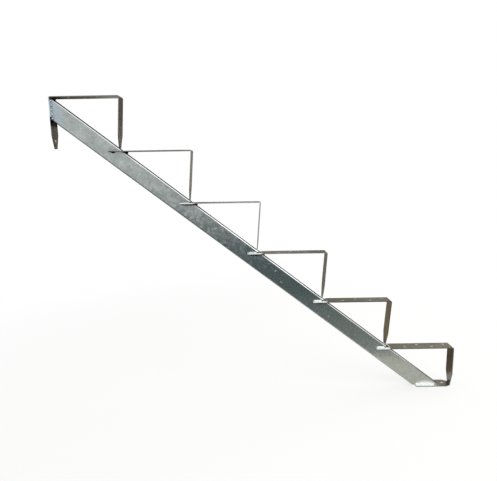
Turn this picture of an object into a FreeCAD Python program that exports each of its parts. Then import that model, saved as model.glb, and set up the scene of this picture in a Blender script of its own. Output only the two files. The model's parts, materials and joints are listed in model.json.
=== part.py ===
"""Six-step stair stringer: a sloping tube rail with bent flat-bar steps welded along it.

X runs down the stair, Y goes across the bar, Z is up. The origin is the centre of the hanger's
screw hole, on the face that lies against the deck. Sizes are in millimetres.
"""
import FreeCAD, Part
import math
import os

Vector = FreeCAD.Vector

# Stair layout
RISE = 196.85
RUN = 254.0
STEPS = 6
LAST_DROP = 165.1           # top of the lowest tread down to the ground

# Flat bar of the steps
BAR_WIDTH = 50.8
BAR_THICK = 3.175
BEND_RADIUS = 3.175         # inside radius of every bend
RISER_LEAN = 4.4            # degrees that a riser leans back under its nosing
TAPER_LENGTH = 50.8
TIP_WIDTH = 19.05

# Rectangular tube of the rail
RAIL_HEIGHT = 65.0
RAIL_DEPTH = 25.4
RAIL_WALL = 2.5
RAIL_CORNER = 5.0           # outside corner radius

# Forked uphill end of a tread
TONGUE_LENGTH = 55.0
TONGUE_CORNER = 5.0
FORK_CLEARANCE = 0.25

# Hanger leg of the top step
HANGER_DROP = 186.0         # top of the first tread down to the tip
HANGER_HOLE_DROP = 156.8    # top of the first tread down to the screw hole

# Foot plate
FOOT_LENGTH = 139.7
FOOT_TOE_WIDTH = 32.0
FOOT_TOE_LENGTH = 18.0      # clipped corners beside the toe
FOOT_HOLE_FROM_TOE = 27.0

# Screw holes
HOLE_DIAMETER = 7.0
TREAD_HOLES = 4
TREAD_HOLE_FIRST = 30.2     # nosing to the first hole
TREAD_HOLE_PITCH = 53.3
TREAD_HOLE_STAGGER = 10.0   # each side of the bar's middle

# Weld metal
WELD_LEG = 5.0
WELD_BULGE = 0.5
ROOT_WELD_LEG = 14.0        # under a tread, in the wedge above the rail
FOOT_WELD_LEG = 6.0
STITCH_RADIUS = 5.0
STITCH_PITCH = 16.0         # about, as the stitches are spread evenly
STITCH_FIRST_DROP = 14.0    # top of the first tread down to the first stitch
STITCH_LAST_RISE = 7.4      # lower edge of the rail's upper end up to the last stitch

PITCH = math.atan2(RISE, RUN)
HALF_BAR = BAR_WIDTH / 2
HALF_RAIL = RAIL_DEPTH / 2
RAIL_FLAT = RAIL_DEPTH - 2 * RAIL_CORNER
DOWNHILL = Vector(math.cos(PITCH), 0, -math.sin(PITCH))
RAIL_NORMAL = Vector(math.sin(PITCH), 0, math.cos(PITCH))
ACROSS = Vector(0, 1, 0)
UP = Vector(0, 0, 1)
FORWARD = Vector(1, 0, 0)
SAME_PLACE = 0.01           # edges nearer than this to a line lie on it


def tread_top(step):
    return HANGER_HOLE_DROP - (step - 1) * RISE


def nosing_x(step):
    return BAR_THICK + step * RUN


GROUND = tread_top(STEPS) - LAST_DROP
FOOT_TOP = GROUND + BAR_THICK
TOE_X = nosing_x(STEPS) - BAR_THICK

# The rail's top face passes through the inside corner of the hanger and the first tread
RAIL_START = Vector(BAR_THICK, 0, tread_top(1) - BAR_THICK)


def on_rail_top(point, direction):
    """Point where a line in the XZ plane meets the rail's top face."""
    reach = (RAIL_START - point).dot(RAIL_NORMAL) / direction.dot(RAIL_NORMAL)
    return point + direction * reach


def rail_end_x(depth):
    """X where the line at a depth below the rail's top face comes down to the foot plate."""
    start = RAIL_START - RAIL_NORMAL * depth
    return start.x + (start.z - FOOT_TOP) / math.tan(PITCH)


def inside_of(direction):
    """Unit normal on the inner side of a bar that bends clockwise as it goes along."""
    return Vector(direction.z, 0, -direction.x)


def crossing(point_a, along_a, point_b, along_b):
    """Crossing of two lines in the XZ plane."""
    gap = point_b - point_a
    cross = along_a.x * along_b.z - along_a.z * along_b.x
    return point_a + along_a * ((gap.x * along_b.z - gap.z * along_b.x) / cross)


def bent_edges(corners, radius):
    """Straight runs through the corners, with an arc of one radius at each bend."""
    edges = []
    start = corners[0]
    for before, bend, after in zip(corners, corners[1:], corners[2:]):
        incoming = (bend - before).normalize()
        outgoing = (after - bend).normalize()
        turn = incoming.getAngle(outgoing)
        setback = radius * math.tan(turn / 2)
        entry = bend - incoming * setback
        leave = bend + outgoing * setback
        centre = entry + inside_of(incoming) * radius
        middle = centre + (bend - centre).normalize() * radius
        edges.append(Part.LineSegment(start, entry).toShape())
        edges.append(Part.Arc(entry, middle, leave).toShape())
        start = leave
    edges.append(Part.LineSegment(start, corners[-1]).toShape())
    return edges


def bent_bar(corners, end_cut):
    """Flat bar along the outer corners, square at its start and cut along end_cut at its end."""
    runs = [(b - a).normalize() for a, b in zip(corners, corners[1:])]
    shifted = [a + inside_of(run) * BAR_THICK for a, run in zip(corners, runs)]
    inner = [shifted[0]]
    for index in range(1, len(runs)):
        inner.append(crossing(shifted[index - 1], runs[index - 1], shifted[index], runs[index]))
    inner.append(crossing(shifted[-1], runs[-1], corners[-1], end_cut))
    outer_edges = bent_edges(corners, BEND_RADIUS + BAR_THICK)
    inner_edges = bent_edges(inner, BEND_RADIUS)
    ends = [Part.LineSegment(corners[0], inner[0]).toShape(),
            Part.LineSegment(corners[-1], inner[-1]).toShape()]
    wire = Part.Wire(Part.__sortEdges__(outer_edges + ends + inner_edges))
    face = Part.Face(wire)
    face.translate(ACROSS * -HALF_BAR)
    return face.extrude(ACROSS * BAR_WIDTH)


def prism(points, sweep):
    """Solid swept from a closed outline of points."""
    return Part.Face(Part.makePolygon(points + points[:1])).extrude(sweep)


def tapered(bar, tip, along, length, tip_width):
    """Bar with both edges drawn in over a length to tip_width at its tip."""
    sweep = inside_of(along) * BAR_THICK * 6
    for side in (-1, 1):
        edge = tip - along * length + ACROSS * side * HALF_BAR
        corner = tip + ACROSS * side * tip_width / 2
        beyond = edge + (corner - edge) * 2
        outside = edge + along * length * 2 + ACROSS * side * BAR_WIDTH
        bar = bar.cut(prism([edge - sweep / 2, beyond - sweep / 2, outside - sweep / 2], sweep))
    return bar


def drilled(bar, points, axis):
    """Bar with a screw hole through its thickness at each point of its outer face."""
    for point in points:
        start = point + axis * BAR_THICK
        bar = bar.cut(Part.makeCylinder(HOLE_DIAMETER / 2, BAR_THICK * 3, start, axis * -1))
    return bar


def tread_hole_points(step):
    points = []
    for index in range(TREAD_HOLES):
        side = 1 if index % 2 == 0 else -1
        x = nosing_x(step) - TREAD_HOLE_FIRST - index * TREAD_HOLE_PITCH
        points.append(Vector(x, side * TREAD_HOLE_STAGGER, tread_top(step)))
    return points


def riser_line(step):
    """Nosing corner, direction down the riser, its lower end and the way that end is cut."""
    nosing = Vector(nosing_x(step), 0, tread_top(step))
    if step == STEPS:
        return nosing, UP * -1, Vector(nosing.x, 0, GROUND), FORWARD
    lean = math.radians(RISER_LEAN)
    down = Vector(-math.sin(lean), 0, -math.cos(lean))
    return nosing, down, on_rail_top(nosing, down), DOWNHILL


def make_rail():
    """Tube cut plumb at the hanger and level on the foot plate, its top corner nipped at the bend."""
    def section(shrink):
        half_width = HALF_RAIL - shrink
        height = RAIL_HEIGHT - 2 * shrink
        radius = RAIL_CORNER - shrink
        block = Part.makeBox(length, 2 * half_width, height, Vector(0, -half_width, -height - shrink))
        long_edges = [e for e in block.Edges if abs(e.tangentAt(e.FirstParameter).x) > 0.5]
        return block.makeFillet(radius, long_edges)

    fall = tread_top(1) - GROUND
    overrun = 2 * RAIL_HEIGHT
    length = fall / math.sin(PITCH) + 2 * overrun
    tube = section(0).cut(section(RAIL_WALL))
    tube.rotate(Vector(0, 0, 0), ACROSS, math.degrees(PITCH))
    tube.translate(RAIL_START - DOWNHILL * overrun)
    room = Part.makeBox(length, 2 * RAIL_DEPTH, fall, Vector(BAR_THICK, -RAIL_DEPTH, FOOT_TOP))
    nip_corner = Vector(BAR_THICK, -RAIL_DEPTH, tread_top(1) - BAR_THICK - BEND_RADIUS)
    nip = Part.makeBox(BEND_RADIUS, 2 * RAIL_DEPTH, fall, nip_corner)
    return tube.common(room).cut(nip)


def make_top_step():
    """Hanger leg, first tread and first riser in one bar."""
    hanger_tip = Vector(0, 0, tread_top(1) - HANGER_DROP)
    nosing, down, riser_tip, end_cut = riser_line(1)
    bar = bent_bar([hanger_tip, Vector(0, 0, tread_top(1)), nosing, riser_tip], end_cut)
    bar = tapered(bar, hanger_tip, UP * -1, TAPER_LENGTH, TIP_WIDTH)
    bar = tapered(bar, riser_tip, down, TAPER_LENGTH, TIP_WIDTH)
    bar = drilled(bar, tread_hole_points(1), UP)
    return drilled(bar, [Vector(0, 0, 0)], FORWARD * -1)


def make_step(step):
    """Forked tread and tapered riser in one bar."""
    root_x = nosing_x(step - 1)
    top = tread_top(step)
    tongue_end = Vector(root_x - TONGUE_LENGTH, 0, top)
    nosing, down, riser_tip, end_cut = riser_line(step)
    bar = bent_bar([tongue_end, nosing, riser_tip], end_cut)
    half_gap = HALF_RAIL + FORK_CLEARANCE
    gap_corner = Vector(tongue_end.x - TONGUE_LENGTH, -half_gap, top - 2 * BAR_THICK)
    bar = bar.cut(Part.makeBox(2 * TONGUE_LENGTH, 2 * half_gap, 3 * BAR_THICK, gap_corner))
    outer_corners = [e for e in bar.Edges
                     if abs(e.CenterOfMass.x - tongue_end.x) < SAME_PLACE
                     and abs(abs(e.CenterOfMass.y) - HALF_BAR) < SAME_PLACE]
    bar = bar.makeFillet(TONGUE_CORNER, outer_corners)
    bar = tapered(bar, riser_tip, down, TAPER_LENGTH, TIP_WIDTH)
    return drilled(bar, tread_hole_points(step), UP)


def make_foot_plate():
    """Flat plate under the rail's lower end, drawn in at its toe."""
    plate = Part.makeBox(FOOT_LENGTH, BAR_WIDTH, BAR_THICK, Vector(TOE_X - FOOT_LENGTH, -HALF_BAR, GROUND))
    toe = Vector(TOE_X, 0, FOOT_TOP)
    plate = tapered(plate, toe, FORWARD, FOOT_TOE_LENGTH, FOOT_TOE_WIDTH)
    return drilled(plate, [Vector(TOE_X - FOOT_HOLE_FROM_TOE, 0, FOOT_TOP)], UP)


def weld_bead(corner, leg_a, leg_b, sweep):
    """Slightly crowned fillet in the corner of two faces, along sweep."""
    end_a = corner + leg_a
    end_b = corner + leg_b
    middle = (end_a + end_b) / 2
    crown = middle + (middle - corner).normalize() * WELD_BULGE
    edges = [Part.LineSegment(corner, end_a).toShape(),
             Part.Arc(end_a, crown, end_b).toShape(),
             Part.LineSegment(end_b, corner).toShape()]
    return Part.Face(Part.Wire(edges)).extrude(sweep)


def root_weld(step):
    """Bead under the uphill end of a tread, in the wedge that it makes with the rail's top."""
    corner = Vector(nosing_x(step - 1), -RAIL_FLAT / 2, tread_top(step) - BAR_THICK)
    bead = weld_bead(corner, FORWARD * ROOT_WELD_LEG, DOWNHILL * ROOT_WELD_LEG, ACROSS * RAIL_FLAT)
    if step == 1:
        bend_room = Part.makeBox(BEND_RADIUS, RAIL_FLAT, ROOT_WELD_LEG, corner - UP * ROOT_WELD_LEG)
        bead = bead.cut(bend_room)
    return bead


def riser_weld(step):
    """Bead behind a riser's tip, as wide as the flat of the rail's top or as the tip."""
    nosing, down, tip, end_cut = riser_line(step)
    inner = crossing(nosing + inside_of(down) * BAR_THICK, down, tip, end_cut)
    width = min(TIP_WIDTH, RAIL_FLAT)
    uphill = end_cut * -WELD_LEG
    return weld_bead(inner - ACROSS * width / 2, uphill, down * -WELD_LEG, ACROSS * width)


def tongue_welds(step):
    """Beads along the top of both tongues, on the flat of the rail's sides."""
    root_x = nosing_x(step - 1)
    top = tread_top(step)
    start_x = root_x - TONGUE_LENGTH + TONGUE_CORNER
    crest = Vector(start_x, 0, top + WELD_LEG) + RAIL_NORMAL * RAIL_CORNER
    end_x = on_rail_top(crest, FORWARD).x - RAIL_NORMAL.x * RAIL_CORNER
    beads = []
    for side in (-1, 1):
        corner = Vector(start_x, side * HALF_RAIL, top)
        out = ACROSS * side * WELD_LEG
        beads.append(weld_bead(corner, out, UP * WELD_LEG, FORWARD * (end_x - start_x)))
    return beads


def hanger_stitches():
    """Row of short stitches spread down each side of the rail's plumb upper end."""
    highest = tread_top(1) - STITCH_FIRST_DROP
    lowest = RAIL_START.z - RAIL_HEIGHT / math.cos(PITCH) + STITCH_LAST_RISE
    gaps = round((highest - lowest) / STITCH_PITCH)
    stitches = []
    for side, turn in ((-1, -90), (1, 0)):
        for index in range(gaps + 1):
            z = highest + (lowest - highest) * index / gaps
            stitch = Part.makeSphere(STITCH_RADIUS, Vector(0, 0, 0), UP, -90, 90, 90)
            stitch.rotate(Vector(0, 0, 0), UP, turn)
            stitch.translate(Vector(BAR_THICK, side * HALF_RAIL, z))
            stitches.append(stitch)
    return stitches


def foot_welds():
    """Beads along both sides of the rail's lower end, on the foot plate."""
    start_x = max(TOE_X - FOOT_LENGTH, rail_end_x(RAIL_HEIGHT - RAIL_CORNER))
    end_x = rail_end_x(RAIL_CORNER) - FOOT_WELD_LEG / math.tan(PITCH)
    beads = []
    for side in (-1, 1):
        corner = Vector(start_x, side * HALF_RAIL, FOOT_TOP)
        out = ACROSS * side * FOOT_WELD_LEG
        beads.append(weld_bead(corner, out, UP * FOOT_WELD_LEG, FORWARD * (end_x - start_x)))
    return beads


def toe_weld():
    """Bead in the corner of the foot plate's toe and the last riser."""
    width = min(TIP_WIDTH, FOOT_TOE_WIDTH)
    corner = Vector(TOE_X, -width / 2, FOOT_TOP)
    return weld_bead(corner, FORWARD * -WELD_LEG, UP * WELD_LEG, ACROSS * width)


parts = {"rail": make_rail(), "top_step": make_top_step(), "foot_plate": make_foot_plate()}
parts["hanger_weld"] = Part.makeCompound(hanger_stitches() + [root_weld(1)])
parts["top_step_weld"] = riser_weld(1)
for number in range(2, STEPS + 1):
    parts[f"step_{number}"] = make_step(number)
    lower_end = toe_weld() if number == STEPS else riser_weld(number)
    parts[f"step_{number}_weld"] = Part.makeCompound(tongue_welds(number) + [root_weld(number), lower_end])
parts["foot_weld"] = Part.makeCompound(foot_welds())

os.makedirs("parts", exist_ok=True)
for name, shape in parts.items():
    shape.exportStep(f"parts/{name}.step")
    print(name, "solids", len(shape.Solids), "volume", round(shape.Volume, 1), "valid", shape.isValid())
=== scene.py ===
import json
import math
import bmesh
import bpy
from mathutils import Matrix, Vector


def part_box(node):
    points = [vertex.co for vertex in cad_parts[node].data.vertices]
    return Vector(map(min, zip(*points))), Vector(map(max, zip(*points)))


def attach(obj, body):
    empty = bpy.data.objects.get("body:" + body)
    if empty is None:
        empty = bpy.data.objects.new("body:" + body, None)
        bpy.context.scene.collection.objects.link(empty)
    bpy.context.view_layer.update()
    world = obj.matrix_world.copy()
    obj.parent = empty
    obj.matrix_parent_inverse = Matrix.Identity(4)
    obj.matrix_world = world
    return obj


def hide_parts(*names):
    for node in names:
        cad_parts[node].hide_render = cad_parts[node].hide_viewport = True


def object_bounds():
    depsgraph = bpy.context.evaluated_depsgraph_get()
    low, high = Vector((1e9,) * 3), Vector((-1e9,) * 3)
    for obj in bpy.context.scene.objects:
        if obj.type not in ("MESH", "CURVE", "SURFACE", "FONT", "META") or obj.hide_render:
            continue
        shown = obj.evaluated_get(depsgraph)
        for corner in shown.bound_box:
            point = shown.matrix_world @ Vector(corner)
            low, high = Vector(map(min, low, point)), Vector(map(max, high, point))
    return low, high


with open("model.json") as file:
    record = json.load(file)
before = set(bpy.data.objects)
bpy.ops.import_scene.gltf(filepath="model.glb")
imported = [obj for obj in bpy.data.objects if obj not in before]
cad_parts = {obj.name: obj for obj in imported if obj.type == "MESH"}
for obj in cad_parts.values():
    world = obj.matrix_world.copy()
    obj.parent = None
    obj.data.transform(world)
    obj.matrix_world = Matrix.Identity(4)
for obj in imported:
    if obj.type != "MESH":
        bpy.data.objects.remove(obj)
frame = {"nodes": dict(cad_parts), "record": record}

cad_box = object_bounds()

# Rail
# One length of rectangular steel tube, at the pitch of the stair, from the hanger down to the foot plate.
# It was cut from tube dipped in hot zinc and is welded at both ends. Its upper bends carry a painted
# highlight.
MM = 0.001
FAR = 10.0                  # reach of a patch along an axis that doesn't bound it
FORWARD = Vector((1, 0, 0))
UP = Vector((0, 0, 1))
place_of = {mount["name"]: Vector(mount["pos_m"]) for mount in frame["record"]["mounts"]}
next_step = place_of["tread_2_back_holes"] - place_of["tread_1_back_holes"]
downhill = next_step.normalized()
rail_normal = Vector((-downhill.z, 0, downhill.x))
rail_low, rail_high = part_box("rail")
bar_thick = rail_low.x      # the rail starts on the hanger's inner face
foot_top = rail_low.z       # and ends on the foot plate


def linear(hex_colour):
    """Linear colour of an sRGB hex value."""
    parts = [int(hex_colour[i:i + 2], 16) / 255 for i in (1, 3, 5)]
    return [c / 12.92 if c < 0.04045 else ((c + 0.055) / 1.055) ** 2.4 for c in parts] + [1.0]


def add(tree, kind, inputs, **settings):
    """Adds a node with its settings, and links or sets its inputs, which go by name or by place."""
    node = tree.nodes.new(kind)
    for name, value in settings.items():
        setattr(node, name, value)
    for socket, value in inputs.items():
        if isinstance(value, bpy.types.NodeSocket):
            tree.links.new(value, node.inputs[socket])
        else:
            node.inputs[socket].default_value = value
    return node


EDGE_DRIFT = 0.5            # share of its reach by which a patch's edge wanders


def patch(tree, place, offset, reach, grain_mm):
    """1 within reach of a point and 0 outside it, along an edge that drifts as spray, soot or grime does.

    The offset is the place as measured from that point.
    """
    shares = add(tree, "ShaderNodeVectorMath", {0: offset, 1: reach}, operation="DIVIDE")
    distance = add(tree, "ShaderNodeVectorMath", {0: shares.outputs[0]}, operation="LENGTH")
    grain = {"Vector": place, "Scale": 1 / (grain_mm * MM), "Detail": 3.0}
    drift = add(tree, "ShaderNodeTexNoise", grain)
    drifting = {0: drift.outputs["Fac"], 1: EDGE_DRIFT, 2: distance.outputs["Value"]}
    moved = add(tree, "ShaderNodeMath", drifting, operation="MULTIPLY_ADD")
    edge = {"Value": moved.outputs[0], 1: 1.0 + EDGE_DRIFT, 2: 1.0}
    return add(tree, "ShaderNodeMapRange", edge, interpolation_type="SMOOTHSTEP").outputs[0]


def patch_at(centre, reach, grain_mm):
    """A zone round one point of the object."""
    def zone(tree, place):
        offset = add(tree, "ShaderNodeVectorMath", {0: place, 1: centre}, operation="SUBTRACT")
        return patch(tree, place, offset.outputs[0], reach, grain_mm)
    return zone


def facing(direction, start, full):
    """A zone of the faces that look along a direction, from none at one cosine to all at another."""
    def zone(tree, place):
        normal = add(tree, "ShaderNodeNewGeometry", {}).outputs["Normal"]
        look = add(tree, "ShaderNodeVectorMath", {0: normal, 1: direction}, operation="DOT_PRODUCT")
        turning = {"Value": look.outputs["Value"], 1: start, 2: full}
        return add(tree, "ShaderNodeMapRange", turning).outputs[0]
    return zone


def within(zones, strength=1.0):
    """A zone where all the given zones overlap, at a strength."""
    def zone(tree, place):
        share = strength
        for part in zones:
            both = {0: share, 1: part(tree, place)}
            share = add(tree, "ShaderNodeMath", both, operation="MULTIPLY").outputs[0]
        return share
    return zone


CRYSTAL_WARP = 0.9          # how far the borders of crystals wander, in crystals
CLOUD_SIZE = 60 * MM
PEEL_SIZE = 5 * MM          # of the orange peel on a dip
PEEL_STRENGTH = 0.25
PEEL_DEPTH = 0.08 * MM
CRYSTAL_SHARE = 0.45        # of the crystals in the tone, against the clouds
PEEL_SHARE = 0.35           # of the orange peel in the tone, against both
NOISE_LOW = 0.3             # ends between which a noise is stretched to full contrast
NOISE_HIGH = 0.7
GLOSS_SPREAD = 0.06         # of the roughness, either way, between dull and pale zinc
SPECK_GAP = 30 * MM
SPECK_EDGE = 8.5 * MM
SPECK_CORE = 6.2 * MM
SPECK_FRAY = 0.3            # share of the gap by which orange peel frays a speck
SPECK_NONE = 0.4            # share of the places that have no speck
SPECK_FULL = 0.85           # share of the places that have none or less than a full one
OXIDE_WHITE = "#dfe2e0"


def galvanised_steel(name, dull, pale, roughness, grain_mm, tilt, oxide_share, layers):
    """Hot-dip zinc on steel: crystals that each lean their own way a little, and so mirror another tone.

    Cloudy patches and white oxide specks lie over them. The layers are zones of another finish, such as
    spray, soot or rubbed zinc, from the lowest up, each with its colour and how far it shines as metal.
    """
    material = bpy.data.materials.new(name)
    material.use_nodes = True
    tree = material.node_tree
    shader = tree.nodes["Principled BSDF"]
    place = add(tree, "ShaderNodeTexCoord", {}).outputs["Object"]

    # Tone of the zinc, from its crystals, clouds and orange peel.
    grain = Vector(grain_mm) * MM
    cells = add(tree, "ShaderNodeVectorMath", {0: place, 1: grain}, operation="DIVIDE").outputs[0]
    warp = add(tree, "ShaderNodeTexNoise", {"Vector": cells, "Scale": 1.0, "Detail": 2.0})
    wander = {0: warp.outputs["Color"], 1: (CRYSTAL_WARP, CRYSTAL_WARP, CRYSTAL_WARP), 2: cells}
    warped = add(tree, "ShaderNodeVectorMath", wander, operation="MULTIPLY_ADD").outputs[0]
    crystals = add(tree, "ShaderNodeTexVoronoi", {"Vector": warped, "Scale": 1.0}, feature="SMOOTH_F1")
    crystal_tone = add(tree, "ShaderNodeSeparateColor", {0: crystals.outputs["Color"]}).outputs[0]
    stretch = {1: NOISE_LOW, 2: NOISE_HIGH}
    clouds = add(tree, "ShaderNodeTexNoise", {"Vector": place, "Scale": 1 / CLOUD_SIZE, "Detail": 4.0})
    cloud_tone = add(tree, "ShaderNodeMapRange", {"Value": clouds.outputs["Fac"]} | stretch).outputs[0]
    peel = add(tree, "ShaderNodeTexNoise", {"Vector": place, "Scale": 1 / PEEL_SIZE, "Detail": 3.0})
    peel_tone = add(tree, "ShaderNodeMapRange", {"Value": peel.outputs["Fac"]} | stretch).outputs[0]
    frost = {"Factor": CRYSTAL_SHARE, 2: cloud_tone, 3: crystal_tone}
    spangle = add(tree, "ShaderNodeMix", frost).outputs[0]
    tone = add(tree, "ShaderNodeMix", {"Factor": PEEL_SHARE, 2: spangle, 3: peel_tone}).outputs[0]
    zinc_tones = {"Factor": tone, 6: linear(dull), 7: linear(pale)}
    zinc = add(tree, "ShaderNodeMix", zinc_tones, data_type="RGBA").outputs[2]

    # White oxide specks, which don't shine as metal.
    specks = add(tree, "ShaderNodeTexVoronoi", {"Vector": place, "Scale": 1 / SPECK_GAP})
    fray = {0: peel.outputs["Fac"], 1: SPECK_FRAY, 2: specks.outputs["Distance"]}
    ragged = add(tree, "ShaderNodeMath", fray, operation="MULTIPLY_ADD").outputs[0]
    speck_edge = {"Value": ragged, 1: SPECK_EDGE / SPECK_GAP, 2: SPECK_CORE / SPECK_GAP}
    speck = add(tree, "ShaderNodeMapRange", speck_edge).outputs[0]
    speck_kind = add(tree, "ShaderNodeSeparateColor", {0: specks.outputs["Color"]}).outputs[1]
    choice = {"Value": speck_kind, 1: SPECK_NONE, 2: SPECK_FULL, 4: oxide_share}
    chosen = add(tree, "ShaderNodeMapRange", choice).outputs[0]
    speck_share = add(tree, "ShaderNodeMath", {0: speck, 1: chosen}, operation="MULTIPLY").outputs[0]
    oxide = {"Factor": speck_share, 6: zinc, 7: linear(OXIDE_WHITE)}
    finish = add(tree, "ShaderNodeMix", oxide, data_type="RGBA").outputs[2]
    metal = add(tree, "ShaderNodeMath", {0: 1.0, 1: speck_share}, operation="SUBTRACT").outputs[0]

    for zone, colour, shine in layers:
        share = zone(tree, place)
        layer = {"Factor": share, 6: finish, 7: linear(colour)}
        finish = add(tree, "ShaderNodeMix", layer, data_type="RGBA").outputs[2]
        metal = add(tree, "ShaderNodeMix", {"Factor": share, 2: metal, 3: shine}).outputs[0]
    tree.links.new(finish, shader.inputs["Base Color"])
    tree.links.new(metal, shader.inputs["Metallic"])
    gloss = {"Value": tone, 3: roughness + GLOSS_SPREAD, 4: roughness - GLOSS_SPREAD}
    tree.links.new(add(tree, "ShaderNodeMapRange", gloss).outputs[0], shader.inputs["Roughness"])

    # A crystal's random colour, taken from its mean, is also the way that the crystal leans.
    from_mean = {0: crystals.outputs["Color"], 1: (0.5, 0.5, 0.5)}
    lean = add(tree, "ShaderNodeVectorMath", from_mean, operation="SUBTRACT").outputs[0]
    normal = add(tree, "ShaderNodeNewGeometry", {}).outputs["Normal"]
    tilted = {0: lean, 1: (tilt, tilt, tilt), 2: normal}
    leaning = add(tree, "ShaderNodeVectorMath", tilted, operation="MULTIPLY_ADD").outputs[0]
    unit = add(tree, "ShaderNodeVectorMath", {0: leaning}, operation="NORMALIZE").outputs[0]
    depth = {"Strength": PEEL_STRENGTH, "Distance": PEEL_DEPTH}
    relief = {"Height": peel.outputs["Fac"], "Normal": unit} | depth
    tree.links.new(add(tree, "ShaderNodeBump", relief).outputs[0], shader.inputs["Normal"])
    return material


TONGUE_LENGTH = 55 * MM
first_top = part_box("top_step")[1].z
tongue_middle = Vector((bar_thick - TONGUE_LENGTH / 2, 0, first_top))


def nosing_x(step):
    """Place of a step's nosing along the stair, where the next tread starts."""
    return bar_thick + step * next_step.x


def tread_top(step):
    """Height of a step's upper face."""
    return first_top + (step - 1) * next_step.z


def within_step(tree, place, start):
    """Offset from a point of the first step, or from the same point of whichever step is nearest."""
    along = add(tree, "ShaderNodeVectorMath", {0: place, 1: start}, operation="SUBTRACT").outputs[0]
    x_place = add(tree, "ShaderNodeSeparateXYZ", {0: along}).outputs["X"]
    share = add(tree, "ShaderNodeMath", {0: x_place, 1: next_step.x}, operation="DIVIDE").outputs[0]
    nearest = add(tree, "ShaderNodeMath", {0: share}, operation="ROUND").outputs[0]
    back = add(tree, "ShaderNodeVectorMath", {0: next_step, "Scale": nearest}, operation="SCALE").outputs[0]
    return add(tree, "ShaderNodeVectorMath", {0: along, 1: back}, operation="SUBTRACT").outputs[0]


def grows_to(light_step, heavy_step, least=0.0):
    """A zone that grows along the stair, from the least at one step's tongues to all at another's."""
    def zone(tree, place):
        along = add(tree, "ShaderNodeSeparateXYZ", {0: place})
        ends = {1: nosing_x(light_step - 1) - TONGUE_LENGTH, 2: nosing_x(heavy_step - 1) - TONGUE_LENGTH}
        growth = {"Value": along.outputs["X"], 3: least, 4: 1.0} | ends
        return add(tree, "ShaderNodeMapRange", growth).outputs[0]
    return zone


TONGUE_SHADE_REACH = 8 * MM       # down the rail's sides from a tongue
TONGUE_SHADE_SHIFT = 9 * MM       # of the scorch's middle, downhill from the tongue's


def shade_under_tongues(tree, place):
    """The rail's sides close under the tongues, where a painted shade lies."""
    offset = within_step(tree, place, tongue_middle + FORWARD * TONGUE_SHADE_SHIFT - UP * bar_thick)
    reach = Vector((TONGUE_LENGTH / 2 + TONGUE_SHADE_SHIFT, FAR, TONGUE_SHADE_REACH))
    return patch(tree, place, offset, reach, grain_mm=9)


DUST_RISE = 150 * MM        # up the rail from the foot plate
HANGER_SPRAY = 42 * MM      # along the rail from the hanger
FOOT_SPRAY = 11 * MM        # up the rail's sides from the foot plate
FOOT_MIST = 18 * MM
SHADE_SPOT_BACK = 39 * MM         # of the painted shade spot, uphill from the second tread's start
SHADE_SPOT_DROP = 4 * MM          # and under that tread's upper face
SHADE_SPOT_REACH = Vector((8 * MM, FAR, 5 * MM))
PAINTED_BEND_HIGHLIGHT = "#f8faf9"
ZINC_SPRAY = "#f4f8f6"
AS_METAL = 1.0              # how far a layer shines as metal
AS_PAINT = 0.3
bead_low, bead_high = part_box("foot_weld")
foot_middle = Vector(((bead_low.x + bead_high.x) / 2, 0, foot_top))
half_foot = (bead_high.x - bead_low.x) / 2
shade_spot_middle = Vector((nosing_x(1) - SHADE_SPOT_BACK, 0, tread_top(2) - SHADE_SPOT_DROP))

above_foot = patch_at(Vector((0, 0, foot_top)), Vector((FAR, FAR, DUST_RISE)), grain_mm=90)
dust = within([above_foot], strength=0.5)
by_hanger = patch_at(Vector((0, 0, 0)), Vector((HANGER_SPRAY, FAR, FAR)), grain_mm=16)
hanger_spray = within([by_hanger], strength=0.55)
# The painted bend highlights and the painted dark reflections on the upper bend and top flat fade out past
# the last tongue, where dust dulls the rail.
off_foot = grows_to(light_step=6.7, heavy_step=6.1)
bend_highlight_wide_high = within([facing(rail_normal, start=0.08, full=0.3), grows_to(light_step=3, heavy_step=2)])
low_bends = within([grows_to(light_step=4, heavy_step=6), off_foot])
bend_highlight_wide_low = within([facing(rail_normal, start=0.15, full=0.4), low_bends])
bend_highlight_line = within([facing(rail_normal, start=0.3, full=0.5), off_foot])
dark_reflection_line = within([facing(rail_normal, start=0.5, full=0.72), grows_to(light_step=4, heavy_step=3)])
top_flat_dark_reflection = within([facing(rail_normal, start=0.76, full=0.9), off_foot])
# Painted shade on the rail's sides under the tongues, full from the third step on.
tongue_shade = within([shade_under_tongues, grows_to(light_step=2, heavy_step=3)], strength=0.9)
# A near-black painted shade spot on the rail, close under the second tread's tongue.
shade_spot = patch_at(shade_spot_middle, SHADE_SPOT_REACH, grain_mm=4)
mist_patch = patch_at(foot_middle, Vector((half_foot, FAR, FOOT_MIST)), grain_mm=60)
foot_mist = within([mist_patch], strength=0.4)
foot_spray = patch_at(foot_middle, Vector((half_foot, FAR, FOOT_SPRAY)), grain_mm=40)
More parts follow.
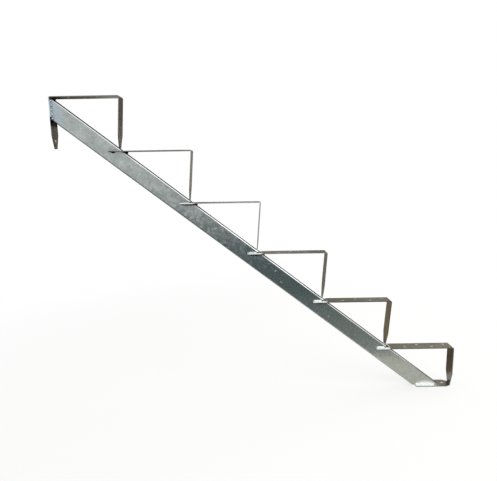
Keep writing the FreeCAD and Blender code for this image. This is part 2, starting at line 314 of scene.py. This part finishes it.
# Zinc on a rolled tube is a soft grey mirror with a fine frost of crystals, which takes its light and dark
# from what is round it. A painted highlight runs along its bends as a white line, with a painted dark
# reflection above it, and its top flat is painted a mid-dark grey as a reflection.
rail_zinc = galvanised_steel(
    "hot_dip_zinc_tube_soft_spangle", "#8f9795", "#bdc3c1",
    roughness=0.27, grain_mm=(9, 9, 9), tilt=0.06, oxide_share=0.9,
    layers=[(dust, "#aaa895", AS_METAL),
            (hanger_spray, "#a9b7c2", AS_METAL),
            (bend_highlight_wide_high, PAINTED_BEND_HIGHLIGHT, AS_METAL),
            (bend_highlight_wide_low, PAINTED_BEND_HIGHLIGHT, AS_METAL),
            (bend_highlight_line, PAINTED_BEND_HIGHLIGHT, AS_METAL),
            (dark_reflection_line, "#1e2020", AS_METAL),
            (top_flat_dark_reflection, "#6a6e6d", AS_METAL),
            (tongue_shade, "#303434", AS_METAL),
            (shade_spot, "#161717", AS_METAL),
            (foot_mist, ZINC_SPRAY, AS_PAINT),
            (foot_spray, ZINC_SPRAY, AS_PAINT)])
# The dull skin of the zinc takes the glare off at a grazing look.
rail_zinc.node_tree.nodes["Principled BSDF"].inputs["Specular Tint"].default_value = linear("#747474")


def dress(node, material):
    """Gives a CAD node its finish."""
    frame["nodes"][node].data.materials.clear()
    frame["nodes"][node].data.materials.append(material)


dress("rail", rail_zinc)

# Steps
# Six flat steel bars, bent cold at the nosing, and the first at the hanger too. The lower five are forked
# over the rail. All are welded to it. The zinc on the flats has weathered brown, and the forks were sprayed.
LAST_STEP = 6
TONGUE_REACH = 28 * MM      # of the spray on a tongue, along it from its middle
SPRAY_HEIGHT = 7 * MM
EDGE_START = 0.6            # cosines to the side, from which a face counts as a bar's edge
EDGE_FULL = 0.8
RUBBED_REACH = 250 * MM     # along the stair from the third nosing, where the edges are rubbed brighter
HOLE_HIGHLIGHT_RADIUS = 4.6 * MM         # radius of the painted highlight round a screw hole
RIM_DEPTH = 10 * MM         # enough to reach through the bar, and not as far as the next one
HANGER_DEPTH = 8 * MM       # of the spray and the painted shade, off the hanger's inner face
STITCH_SHADE_DROP = 5 * MM          # of the painted shade's middle, under the last stitch
STITCH_SHADE_REACH = 17 * MM
SHADED_CORNER = Vector((40 * MM, FAR, 20 * MM))
HOLE_HIGHLIGHT_COLOUR = "#e4e4da"
stitch_low, stitch_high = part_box("hanger_weld")
stitch_middle = Vector((bar_thick, 0, (stitch_low.z + stitch_high.z) / 2))
stitch_reach = (stitch_high.z - stitch_low.z) / 2
stitch_shade_middle = Vector((bar_thick, 0, stitch_low.z - STITCH_SHADE_DROP))
hole_pitch = place_of["tread_1_back_holes"].x - place_of["tread_1_front_holes"].x


def bar_edges(tree, place):
    """The narrow edges of a bar, to both sides."""
    normal = add(tree, "ShaderNodeNewGeometry", {}).outputs["Normal"]
    sideways = add(tree, "ShaderNodeSeparateXYZ", {0: normal}).outputs["Y"]
    either = add(tree, "ShaderNodeMath", {0: sideways}, operation="ABSOLUTE").outputs[0]
    turning = {"Value": either, 1: EDGE_START, 2: EDGE_FULL}
    return add(tree, "ShaderNodeMapRange", turning).outputs[0]


def forked_ends(tree, place):
    """The tongues of every step, and nothing above or under them."""
    offset = within_step(tree, place, tongue_middle)
    return patch(tree, place, offset, Vector((TONGUE_REACH, FAR, SPRAY_HEIGHT)), grain_mm=9)


def hole_highlights(tree, place):
    """Rims and walls of the tread's screw holes, which carry a painted highlight."""
    rims = 0.0
    for row in ("tread_1_back_holes", "tread_1_front_holes"):
        for side in (-1, 1):
            offset = within_step(tree, place, place_of[row] + FORWARD * side * hole_pitch)
            rim = patch(tree, place, offset, Vector((HOLE_HIGHLIGHT_RADIUS, HOLE_HIGHLIGHT_RADIUS, RIM_DEPTH)), grain_mm=3)
            rims = add(tree, "ShaderNodeMath", {0: rims, 1: rim}, operation="MAXIMUM").outputs[0]
    return rims


undersides = facing(-UP, start=0.5, full=0.8)
third_nosing = patch_at(Vector((nosing_x(3), 0, 0)), Vector((RUBBED_REACH, FAR, FAR)), grain_mm=60)
# The hanger's screw hole carries the same painted highlight.
deck_hole_highlight = patch_at(Vector((0, 0, 0)), Vector((RIM_DEPTH, HOLE_HIGHLIGHT_RADIUS, HOLE_HIGHLIGHT_RADIUS)), grain_mm=3)
# Spray and painted shade lie on the hanger's inner face and edges, and its face on the deck has neither.
off_deck = facing(FORWARD, start=-0.4, full=-0.1)
by_stitches = patch_at(stitch_middle, Vector((HANGER_DEPTH, FAR, stitch_reach)), grain_mm=12)
# Painted shade on the hanger just under the stitches, below the rail's end.
shade_under_stitches = patch_at(stitch_shade_middle, Vector((HANGER_DEPTH, FAR, STITCH_SHADE_REACH)), grain_mm=9)
hanger_corner = patch_at(Vector((0, 0, first_top)), SHADED_CORNER, grain_mm=30)
# Painted shade, near black, on the first tread's underside in the corner by the hanger.
shaded_underside = within([facing(-UP, start=0.3, full=0.6), hanger_corner])
not_from_below = facing(UP, start=-0.6, full=-0.1)
# The spray leaves out faces that look down and the second step's tongues, which keep a dark grey painted
# shade.
sprayed_forks = within([forked_ends, grows_to(light_step=2, heavy_step=3), not_from_below])
# Weathered zinc on bar is a dull brown-grey mirror with streaks along the bar. Its edges and undersides
# stayed greyer and brighter, its hole rims carry a painted highlight, and the sprayed tongues are white
# against the rail, over a dark grey painted shade.
bar_zinc = galvanised_steel(
    "weathered_hot_dip_zinc_flat_bar", "#645e50", "#8f8a7b",
    roughness=0.36, grain_mm=(60, 6, 60), tilt=0.07, oxide_share=0.1,
    layers=[(undersides, "#a0a3ae", AS_METAL),
            (bar_edges, "#7f807c", AS_METAL),
            (within([bar_edges, third_nosing]), "#c4c8c6", AS_METAL),
            (hole_highlights, HOLE_HIGHLIGHT_COLOUR, AS_METAL),
            (deck_hole_highlight, HOLE_HIGHLIGHT_COLOUR, AS_METAL),
            (within([off_deck, by_stitches]), "#cfdade", AS_METAL),
            (within([off_deck, shade_under_stitches]), "#121414", AS_METAL),
            (shaded_underside, "#222222", AS_METAL),
            # Dark grey painted shade on the tongues, under the spray.
            (forked_ends, "#505250", AS_METAL),
            (sprayed_forks, ZINC_SPRAY, AS_PAINT)])
dress("top_step", bar_zinc)
for number in range(2, LAST_STEP + 1):
    dress(f"step_{number}", bar_zinc)

# Foot plate
# A short length of the same bar, flat on the ground under the rail's cut end and drawn in at its toe.
# It is welded along both sides of the rail, and the spray over those welds ends short of the screw hole.
BARE_TOE = 62 * MM
plate_low, plate_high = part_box("foot_plate")
spray_length = plate_high.x - plate_low.x - BARE_TOE
by_the_rail = patch_at(plate_low, Vector((spray_length, FAR, FAR)), grain_mm=10)
sprayed_top = within([facing(UP, start=0.3, full=0.6), by_the_rail])
# The foot plate's screw hole carries a painted highlight.
foot_hole_highlight = patch_at(place_of["foot_hole"], Vector((HOLE_HIGHLIGHT_RADIUS, HOLE_HIGHLIGHT_RADIUS, FAR)), grain_mm=3)
# The same weathered zinc, a little greyer and more even, and painted white by the spray up to the bare toe.
foot_zinc = galvanised_steel(
    "weathered_hot_dip_zinc_plate", "#6d6860", "#8a867c",
    roughness=0.36, grain_mm=(60, 6, 60), tilt=0.07, oxide_share=0.1,
    layers=[(sprayed_top, ZINC_SPRAY, AS_PAINT),
            (foot_hole_highlight, HOLE_HIGHLIGHT_COLOUR, AS_METAL)])
dress("foot_plate", foot_zinc)

# Welds
# Electric-arc beads in every corner where a bar meets the rail, laid as a row of frozen ripples.
# Those that face up are painted a lighter grey as a painted highlight and were sprayed with cold zinc, and
# the roots under the treads stayed scorched.
ACROSS = Vector((0, 1, 0))
half_rail = rail_high.y
WELD_LEG = 5 * MM           # of the fillets on tongues, risers and toe
ROOT_LEG = 14 * MM          # of the beads in the wedges under the treads
FOOT_LEG = 6 * MM           # of the beads along the foot plate
CROWN = 0.5 * MM            # rise of a bead's middle over a flat fillet
RIPPLE_PITCH = 2.6 * MM
RIPPLE_DEPTH = 0.05         # share of the bead's size
RIPPLE_BOW = 0.45           # how far a ripple's ends trail its middle, in ripples
SECTION_STEP = 0.5 * MM     # between the sections that a bead is drawn with
LEAST_SECTIONS = 8
PROFILE_STEPS = 8
ROUND_END = 0.2             # share of its size to which a bead rounds off
ROOT_END = 0.6
SMOOTH_ANGLE = math.radians(50)


def lay_bead(shape, corner, leg_a, leg_b, sweep, end_share):
    """Adds a rippled fillet to a bmesh, in the corner of two faces and along sweep.

    Its ends round off to end_share of its size, over a leg's length or a third of the bead at most.
    """
    count = max(LEAST_SECTIONS, round(sweep.length / SECTION_STEP))
    bulge = (leg_a + leg_b).normalized() * CROWN
    end_round = min(leg_a.length, sweep.length / 3)
    rings = []
    for index in range(count + 1):
        travel = sweep.length * index / count
        from_end = min(travel, sweep.length - travel, end_round)
        swell = end_share + (1 - end_share) * math.sqrt(1 - (1 - from_end / end_round) ** 2)
        ring = [shape.verts.new(corner + sweep * (index / count))]
        for step in range(PROFILE_STEPS + 1):
            share = step / PROFILE_STEPS
            bow = (2 * share - 1) ** 2
            phase = travel / RIPPLE_PITCH + RIPPLE_BOW * bow
            ripple = 1 - RIPPLE_DEPTH * (1 - abs(math.sin(math.pi * phase))) * (1 - bow)
            edge = leg_a * (1 - share) + leg_b * share + bulge * 4 * share * (1 - share)
            ring.append(shape.verts.new(corner + sweep * (index / count) + edge * swell * ripple))
        rings.append(ring)
    size = len(rings[0])
    for one, two in zip(rings, rings[1:]):
        for k in range(size):
            shape.faces.new([one[k], one[(k + 1) % size], two[(k + 1) % size], two[k]])
    shape.faces.new(rings[0])
    shape.faces.new(rings[-1])


STITCHES = 5                # on each side of the rail
STITCH_RADIUS = 5 * MM
STITCH_FIRST_DROP = 14 * MM     # of the first stitch's middle, under the first tread's upper face
STITCH_ROWS = 18
STITCH_TURNS = 9
RING_DEPTH = 0.1            # share of a stitch's radius


def lay_stitch(shape, centre, out, radius):
    """Adds a short stitch to a bmesh: a quarter ball with rings, in the corner of hanger and rail."""
    top = shape.verts.new(centre + Vector((0, 0, radius)))
    bottom = shape.verts.new(centre - Vector((0, 0, radius)))
    arcs = []
    for turn in range(STITCH_TURNS + 1):
        angle = math.pi / 2 * turn / STITCH_TURNS
        arc = [bottom]
        for row in range(1, STITCH_ROWS):
            tilt = math.pi * (row / STITCH_ROWS - 0.5)
            rise = radius * math.sin(tilt)
            ring = 1 - RING_DEPTH * (1 - abs(math.sin(math.pi * rise / RIPPLE_PITCH)))
            reach = radius * math.cos(tilt) * ring
            offset = Vector((reach * math.cos(angle), out * reach * math.sin(angle), rise))
            arc.append(shape.verts.new(centre + offset))
        arcs.append(arc + [top])
    for one, two in zip(arcs, arcs[1:]):
        for row in range(STITCH_ROWS):
            corners = [one[row], one[row + 1], two[row + 1], two[row]]
            shape.faces.new(list(dict.fromkeys(corners)))
    shape.faces.new(arcs[0])
    shape.faces.new(arcs[-1])


SPRAYED_TO = 12 * MM        # from the deck, where the spray on the stitches ends
SPRAYED_FULLY = 9 * MM
SPRAY_START = 2 * MM        # inside the rail's sides, where that spray starts


def sprayed_stitches(tree, place):
    """The stitches at the hanger, which were sprayed all round."""
    along = add(tree, "ShaderNodeSeparateXYZ", {0: place})
    aside = add(tree, "ShaderNodeMath", {0: along.outputs["Y"]}, operation="ABSOLUTE").outputs[0]
    beside = {"Value": aside, 1: half_rail - SPRAY_START, 2: half_rail}
    clear = add(tree, "ShaderNodeMapRange", beside).outputs[0]
    close = {"Value": along.outputs["X"], 1: SPRAYED_TO, 2: SPRAYED_FULLY}
    near = add(tree, "ShaderNodeMapRange", close).outputs[0]
    return add(tree, "ShaderNodeMath", {0: clear, 1: near}, operation="MULTIPLY").outputs[0]


TOE_REACH = 15 * MM
toe_end = Vector((plate_high.x, 0, foot_top))
bare_toe_bead = patch_at(toe_end, Vector((TOE_REACH, FAR, TOE_REACH)), grain_mm=6)
# Up-facing bead faces take a lighter grey as a painted highlight, under the spray.
bead_tops = facing(UP, start=0.15, full=0.5)
sprayed_beads = within([bead_tops, grows_to(light_step=3, heavy_step=5, least=0.1)])
# Bare weld metal is dark, scaly and dull, and the cold zinc spray on it is a bright silver white, thicker the
# further down the stair.
weld_zinc = galvanised_steel(
    "arc_weld_bead_under_cold_zinc_spray", "#24221f", "#35322e",
    roughness=0.5, grain_mm=(4, 4, 4), tilt=0.1, oxide_share=0.0,
    layers=[(bead_tops, "#a9afad", AS_METAL),
            (sprayed_beads, ZINC_SPRAY, AS_PAINT),
            (bare_toe_bead, "#5a564e", AS_METAL),
            (sprayed_stitches, "#d3dee4", AS_METAL)])


def finish_weld(shape, node):
    """Makes a piece of a bmesh of beads, which stands for a weld node."""
    bmesh.ops.recalc_face_normals(shape, faces=shape.faces)
    mesh = bpy.data.meshes.new(f"{node}_beads")
    shape.to_mesh(mesh)
    shape.free()
    piece = bpy.data.objects.new(f"{node}_beads", mesh)
    bpy.context.scene.collection.objects.link(piece)
    mesh.materials.append(weld_zinc)
    for face in mesh.polygons:
        face.use_smooth = True
    mesh.set_sharp_from_angle(angle=SMOOTH_ANGLE)
    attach(piece, "root")
    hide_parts(node)


RAIL_CORNER = 5 * MM        # outside radius of the tube's corners
TONGUE_CORNER = 5 * MM      # radius of a tongue's corners
TOE_WIDTH = 19.05 * MM      # of the last riser's tip, at the toe of the foot plate
RISER_LEAN = math.radians(4.4)      # back under the nosing
rail_flat = 2 * (half_rail - RAIL_CORNER)


def on_rail_top(point, direction):
    """Where a line from a point along a direction meets the rail's upper face."""
    start = Vector((bar_thick, 0, first_top - bar_thick))
    return point + direction * ((start - point).dot(rail_normal) / direction.dot(rail_normal))


def lay_root(shape, step):
    """Lays the bead in the wedge between the rail and the uphill end of a tread."""
    corner = Vector((nosing_x(step - 1), -rail_flat / 2, tread_top(step) - bar_thick))
    lay_bead(shape, corner, FORWARD * ROOT_LEG, downhill * ROOT_LEG, ACROSS * rail_flat, ROOT_END)


def lay_riser(shape, step):
    """Lays the bead across the rail at the foot of a riser, on its inner side."""
    down = Vector((-math.sin(RISER_LEAN), 0, -math.cos(RISER_LEAN)))
    inner = Vector((nosing_x(step), 0, tread_top(step))) + Vector((down.z, 0, -down.x)) * bar_thick
    corner = on_rail_top(inner, down) - ACROSS * rail_flat / 2
    lay_bead(shape, corner, downhill * -WELD_LEG, down * -WELD_LEG, ACROSS * rail_flat, ROUND_END)


# The stitches were laid by hand, and no two are quite the same size.
MEAN_SIZE = 0.93
SIZE_SPREAD = 0.07
SIZE_BEAT = 2.3
stitches = bmesh.new()
lowest = stitch_low.z + STITCH_RADIUS
highest = first_top - STITCH_FIRST_DROP
for side in (-1, 1):
    for index in range(STITCHES):
        height = highest + (lowest - highest) * index / (STITCHES - 1)
        size = STITCH_RADIUS * (MEAN_SIZE + SIZE_SPREAD * math.sin(SIZE_BEAT * index + side))
        lay_stitch(stitches, Vector((bar_thick, side * half_rail, height)), side, size)
lay_root(stitches, 1)
finish_weld(stitches, "hanger_weld")

first_riser = bmesh.new()
lay_riser(first_riser, 1)
finish_weld(first_riser, "top_step_weld")

for number in range(2, LAST_STEP + 1):
    beads = bmesh.new()
    lay_root(beads, number)
    start_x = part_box(f"step_{number}")[0].x + TONGUE_CORNER
    crest = Vector((start_x, 0, tread_top(number) + WELD_LEG)) + rail_normal * RAIL_CORNER
    length = on_rail_top(crest, FORWARD).x - rail_normal.x * RAIL_CORNER - start_x
    for side in (-1, 1):
        corner = Vector((start_x, side * half_rail, tread_top(number)))
        lay_bead(beads, corner, ACROSS * side * WELD_LEG, UP * WELD_LEG, FORWARD * length, ROUND_END)
    if number < LAST_STEP:
        lay_riser(beads, number)
    else:
        corner = Vector((plate_high.x, -TOE_WIDTH / 2, foot_top))
        lay_bead(beads, corner, FORWARD * -WELD_LEG, UP * WELD_LEG, ACROSS * TOE_WIDTH, ROUND_END)
    finish_weld(beads, f"step_{number}_weld")

foot_beads = bmesh.new()
for side in (-1, 1):
    corner = Vector((bead_low.x, side * half_rail, foot_top))
    run = FORWARD * (bead_high.x - bead_low.x)
    lay_bead(foot_beads, corner, ACROSS * side * FOOT_LEG, UP * FOOT_LEG, run, ROUND_END)
finish_weld(foot_beads, "foot_weld")

# Floor
# A plain pale studio floor of matt board, level with the underside of the foot plate.
# It keeps the soft shadow near the stringer and melts into the white surround further out.
FLOOR_REACH = 7.0
SHADOW_REACH = 0.8          # around the stringer, where the floor is its lit self
WHITE_REACH = 2.2
LIFT = 0.7                  # share of plain white in what the eye and the metal see of the near floor
WHITE = linear("#ffffff")
ground = cad_box[0].z
middle = (cad_box[0] + cad_box[1]) / 2
under_middle = (middle.x, middle.y, ground)


def card(name, low, high, turn):
    """A flat rectangle between two corners, in the plane that turn gives."""
    mesh = bpy.data.meshes.new(name)
    corners = [(low[0], low[1]), (high[0], low[1]), (high[0], high[1]), (low[0], high[1])]
    mesh.from_pydata([turn @ Vector((x, y, 0)) for x, y in corners], [], [(0, 1, 2, 3)])
    board = bpy.data.objects.new(name, mesh)
    bpy.context.scene.collection.objects.link(board)
    return board


def seen_directly(tree):
    """1 for what the eye, a mirror or glass sees, 0 for the light that surfaces pass to each other."""
    light = add(tree, "ShaderNodeLightPath", {})
    eye = {0: light.outputs["Is Camera Ray"], 1: light.outputs["Is Glossy Ray"]}
    both = add(tree, "ShaderNodeMath", eye, operation="MAXIMUM")
    all_three = {0: both.outputs[0], 1: light.outputs["Is Transmission Ray"]}
    return add(tree, "ShaderNodeMath", all_three, operation="MAXIMUM").outputs[0]


level = Matrix.Translation(under_middle)
floor = card("floor", (-FLOOR_REACH, -FLOOR_REACH), (FLOOR_REACH, FLOOR_REACH), level)
# Matt board has no gloss, so the eye sees only its white and the shadow on it.
paper = bpy.data.materials.new("matt_white_studio_floor")
paper.use_nodes = True
tree = paper.node_tree
tree.nodes.remove(tree.nodes["Principled BSDF"])
matt = add(tree, "ShaderNodeBsdfDiffuse", {"Color": linear("#f2f2f0")})
white = add(tree, "ShaderNodeEmission", {"Color": WHITE, "Strength": 1.0})
spot = add(tree, "ShaderNodeNewGeometry", {}).outputs["Position"]
away = add(tree, "ShaderNodeVectorMath", {0: spot, 1: under_middle}, operation="SUBTRACT")
far = add(tree, "ShaderNodeVectorMath", {0: away.outputs[0]}, operation="LENGTH")
melting = {"Value": far.outputs["Value"], 1: SHADOW_REACH, 2: WHITE_REACH, 3: LIFT, 4: 1.0}
fade = add(tree, "ShaderNodeMapRange", melting, interpolation_type="SMOOTHSTEP")
share = add(tree, "ShaderNodeMath", {0: fade.outputs[0], 1: seen_directly(tree)}, operation="MULTIPLY")
both = add(tree, "ShaderNodeMixShader", {0: share.outputs[0], 1: matt.outputs[0], 2: white.outputs[0]})
tree.links.new(both.outputs[0], tree.nodes["Material Output"].inputs["Surface"])
floor.data.materials.append(paper)

# Flags
# Cloth boards that only the metal mirrors, low in front of the stringer and behind it, and upright behind it.
# Bare metal shows what is round it, and these give its flats and bends their dark and pale bands.
FLAG_LIFT = 2 * MM          # over the floor
BACK_DISTANCE = 2.6


def flag(name, low, high, turn, colour):
    """Hangs a board of dull cloth, which has no gloss of its own."""
    board = card(name, low, high, turn)
    cloth = bpy.data.materials.new(f"{name}_cloth")
    cloth.use_nodes = True
    shader = cloth.node_tree.nodes["Principled BSDF"]
    shader.inputs["Base Color"].default_value = linear(colour)
    shader.inputs["Roughness"].default_value = 1.0
    shader.inputs["Specular IOR Level"].default_value = 0.0
    board.data.materials.append(cloth)
    board.visible_camera = False
    board.visible_diffuse = False
    board.visible_shadow = False


on_floor = Matrix.Translation((0, 0, ground + FLAG_LIFT))
upright = Matrix.Translation((0, BACK_DISTANCE, 0)) @ Matrix.Rotation(math.radians(90), 4, "X")
flag("front_far_flag", (-3.0, -5.5), (4.0, -1.05), on_floor, "#22454e")
flag("front_near_flag", (-3.0, -1.05), (4.0, -0.3), on_floor, "#979b96")
flag("back_near_flag", (-3.0, 0.08), (5.0, 0.45), on_floor, "#8a7f6d")
flag("back_floor_flag", (-3.0, 0.45), (5.0, BACK_DISTANCE), on_floor, "#bdb09a")
flag("back_left_flag", (-5.0, ground), (-0.7, 0.9), upright, "#1c1a17")
flag("back_upper_flag", (-0.7, 0.2), (0.7, 1.4), upright, "#2a2622")
flag("back_middle_flag", (0.7, 0.2), (1.6, 0.75), upright, "#1f1b16")
flag("back_low_flag", (0.3, ground), (1.3, 0.2), upright, "#ebe5da")
flag("back_step_flag", (1.3, ground), (1.6, 0.2), upright, "#3c352a")
flag("back_gap_flag", (-0.42, ground), (0.3, 0.2), upright, "#5c5a56")
flag("back_pale_flag", (-0.7, ground), (-0.42, 0.2), upright, "#c4c1ba")
flag("back_right_flag", (1.6, ground), (1.85, 0.26), upright, "#3c352a")
flag("back_raised_flag", (1.85, ground), (2.15, 0.4), upright, "#2a251d")
flag("back_far_flag", (2.15, ground), (5.0, 0.26), upright, "#3c352a")

# Light
# One wide softbox, which hangs high past the foot of the stair and faces the rail, and a white surround.
# The surround gives off a little less light than the eye and the metal see of it.
SOFTBOX_PLACE = Vector((1.80, -0.25, 0.95))
SOFTBOX_AIM = Vector((0.76, 0.0, -0.42))
SURROUND_LIGHT = 0.85
lamp = bpy.data.lights.new("overhead_softbox", "AREA")
lamp.shape = "RECTANGLE"
lamp.size = 4.6
lamp.size_y = 1.8
lamp.energy = 24
softbox = bpy.data.objects.new("overhead_softbox", lamp)
softbox.location = SOFTBOX_PLACE
softbox.rotation_euler = (SOFTBOX_AIM - SOFTBOX_PLACE).to_track_quat("-Z", "Y").to_euler()
bpy.context.scene.collection.objects.link(softbox)
softbox.visible_camera = False

world = bpy.data.worlds.new("white_surround")
bpy.context.scene.world = world
world.use_nodes = True
tree = world.node_tree
strength = add(tree, "ShaderNodeMapRange", {"Value": seen_directly(tree), 3: SURROUND_LIGHT, 4: 1.0})
tree.nodes["Background"].inputs["Color"].default_value = WHITE
tree.links.new(strength.outputs[0], tree.nodes["Background"].inputs["Strength"])
bpy.context.scene.view_settings.view_transform = "Standard"

# Camera
# It stands in front of the stair's middle, at a height between the second and third treads, and looks
# slightly down. Its place, turn and lens are those that fit the photograph, in a frame 497 pixels wide.
IMAGE_WIDTH = 497
FOCAL_PIXELS = 417.16
CAMERA_PLACE = Vector((0.72147, -1.59474, -0.12661))
CAMERA_YAW = math.radians(0.202)
CAMERA_PITCH = math.radians(9.264)
CAMERA_ROLL = math.radians(-0.929)
lens = bpy.data.cameras.new("camera")
lens.sensor_width = 36
lens.lens = lens.sensor_width * FOCAL_PIXELS / IMAGE_WIDTH
camera = bpy.data.objects.new("camera", lens)
turn = Matrix.Rotation(CAMERA_YAW, 4, "Z") @ Matrix.Rotation(math.radians(90) - CAMERA_PITCH, 4, "X")
camera.matrix_world = Matrix.Translation(CAMERA_PLACE) @ turn @ Matrix.Rotation(CAMERA_ROLL, 4, "Z")
bpy.context.scene.collection.objects.link(camera)
bpy.context.scene.camera = camera
